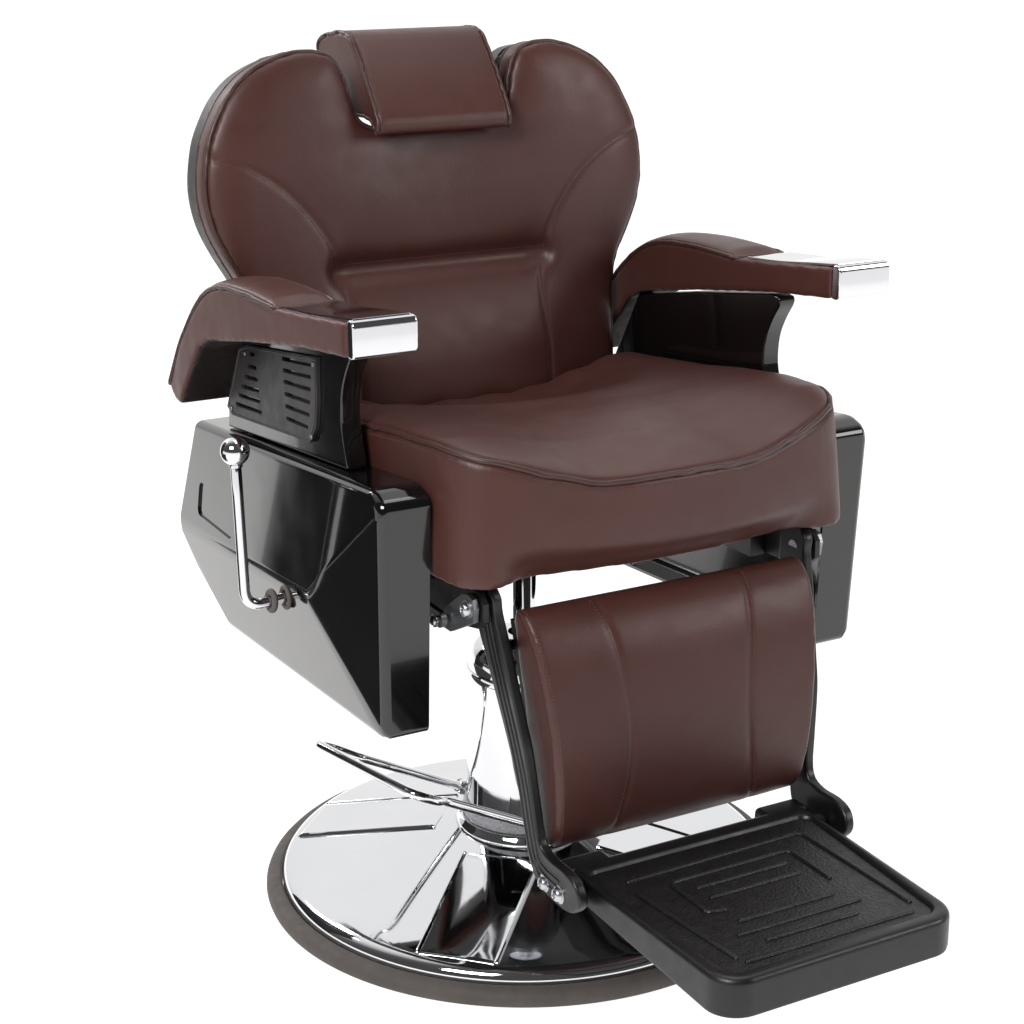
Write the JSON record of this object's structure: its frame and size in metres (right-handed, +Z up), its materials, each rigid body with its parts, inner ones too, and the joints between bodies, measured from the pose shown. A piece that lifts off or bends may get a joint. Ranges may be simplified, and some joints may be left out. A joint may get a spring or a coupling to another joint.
{
  "type": "hydraulic barber chair",
  "caption": "Hydraulic barber chair on a round pump base, with reclining back, linked leg rest, flip-up footplate and sliding headrest.",
  "frame": {"origin": "on the floor, under the pump axis, at the centre of the round base", "axes": "+Z up along the pump axis, -Y the way the chair faces, +X to the sitter's left"},
  "size_m": [0.7255, 1.018, 1.044],
  "materials": {
    "chrome": "mirror chrome plating",
    "zinc": "bright zinc-plated hardware",
    "steel": "plain mild steel",
    "black_paint": "black powder coat",
    "gloss_black": "gloss black moulding",
    "satin_black": "fine-textured satin black moulding",
    "black_alloy": "black-coated cast alloy",
    "rubber": "dark grey rubber",
    "leather": "dark brown semi-gloss leather, fine grain",
    "wood": "black-stained plywood"
  },
  "bodies": {
    "base": {"floor_plate": "black_paint", "base_rubber_ring": "rubber", "base_dome": "chrome", "base_collar": "chrome", "pump_cover": "chrome", "pump_cap": "chrome", "pump_cylinder": "steel", "pump_gland": "zinc", "pedal_pin_rear": "zinc", "pedal_pin_front": "zinc"},
    "pedal": {"pedal_loop": "chrome"},
    "lift": {"piston_rod": "chrome", "swivel_race": "zinc"},
    "seat": {"swivel_hub": "black_paint", "seat_mount_plate": "black_paint", "front_crossbar": "black_paint", "rear_crossbar": "black_paint", "seat_rail_left": "black_paint", "seat_rail_right": "black_paint", "recline_bolt_left": "zinc", "recline_bolt_right": "zinc", "seat_board": "wood", "seat_cushion": "leather", "side_box_left": "gloss_black", "side_box_right": "gloss_black", "armrest_support_left": "satin_black", "armrest_support_right": "satin_black", "vent_panel_left": "satin_black", "vent_panel_right": "satin_black", "armrest_pad_left": "leather", "armrest_pad_right": "leather", "armrest_cap_left": "chrome", "armrest_cap_right": "chrome"},
    "recline_lever": {"lever_rod": "chrome", "lever_ball": "chrome", "lever_ring": "rubber"},
    "back": {"back_cushion": "leather", "back_board": "wood", "back_shell": "satin_black", "headrest_sleeve_left": "zinc", "headrest_sleeve_right": "zinc", "back_crossbar": "black_paint", "back_hinge_plate_left": "steel", "back_hinge_plate_right": "steel"},
    "links": {"link_rod_left": "steel", "link_rod_right": "steel"},
    "headrest": {"headrest_pad": "leather", "headrest_post_left": "chrome", "headrest_post_right": "chrome"},
    "legrest": {"legrest_arm_left": "black_alloy", "legrest_arm_right": "black_alloy", "legrest_crank_left": "steel", "legrest_crank_right": "steel", "footplate_bolt_left": "zinc", "footplate_bolt_right": "zinc", "legrest_tube": "black_paint", "calf_board": "wood", "calf_pad": "leather"},
    "footplate": {"footplate": "satin_black"}
  },
  "joints": [
    {"name": "pedal_pump", "type": "hinge", "parent": "base", "child": "pedal", "pos_m": [-0.03521, -0.00748, 0.103], "axis": [0.2079, -0.9781, 0], "range_deg": [0, 22], "stiffness_Nm_per_rad": 6, "springref_deg": -4.01},
    {"name": "lift", "type": "slide", "parent": "base", "child": "lift", "axis": [0, 0, 1], "range_m": [-0.1, 0.05]},
    {"name": "swivel", "type": "hinge", "parent": "lift", "child": "seat", "pos_m": [0, 0, 0.44], "axis": [0, 0, 1], "continuous": true},
    {"name": "recline", "type": "hinge", "parent": "seat", "child": "back", "pos_m": [0, 0.205, 0.5], "axis": [-1, 0, 0], "range_deg": [0, 40]},
    {"name": "leg_lift", "type": "hinge", "parent": "seat", "child": "legrest", "pos_m": [0, -0.282, 0.489], "axis": [-1, 0, 0], "range_deg": [0, 40]},
    {"name": "link_turn", "type": "hinge", "parent": "back", "child": "links", "pos_m": [0, 0.255, 0.474], "axis": [-1, 0, 0], "range_deg": [-40, 0]},
    {"name": "footplate_flip", "type": "hinge", "parent": "legrest", "child": "footplate", "pos_m": [0, -0.391, 0.197], "axis": [-1, 0, 0], "range_deg": [0, 60]},
    {"name": "headrest_slide", "type": "slide", "parent": "back", "child": "headrest", "axis": [0, 0.1045, 0.9945], "range_m": [0, 0.1]},
    {"name": "lever_pull", "type": "hinge", "parent": "seat", "child": "recline_lever", "pos_m": [-0.3, -0.03, 0.445], "axis": [1, 0, 0], "range_deg": [0, 25], "stiffness_Nm_per_rad": 1.2, "springref_deg": -9.74}
  ],
  "couplings": [
    {"joint": "leg_lift", "follows": "recline", "ratio": 1},
    {"joint": "link_turn", "follows": "recline", "ratio": -1}
  ]
}
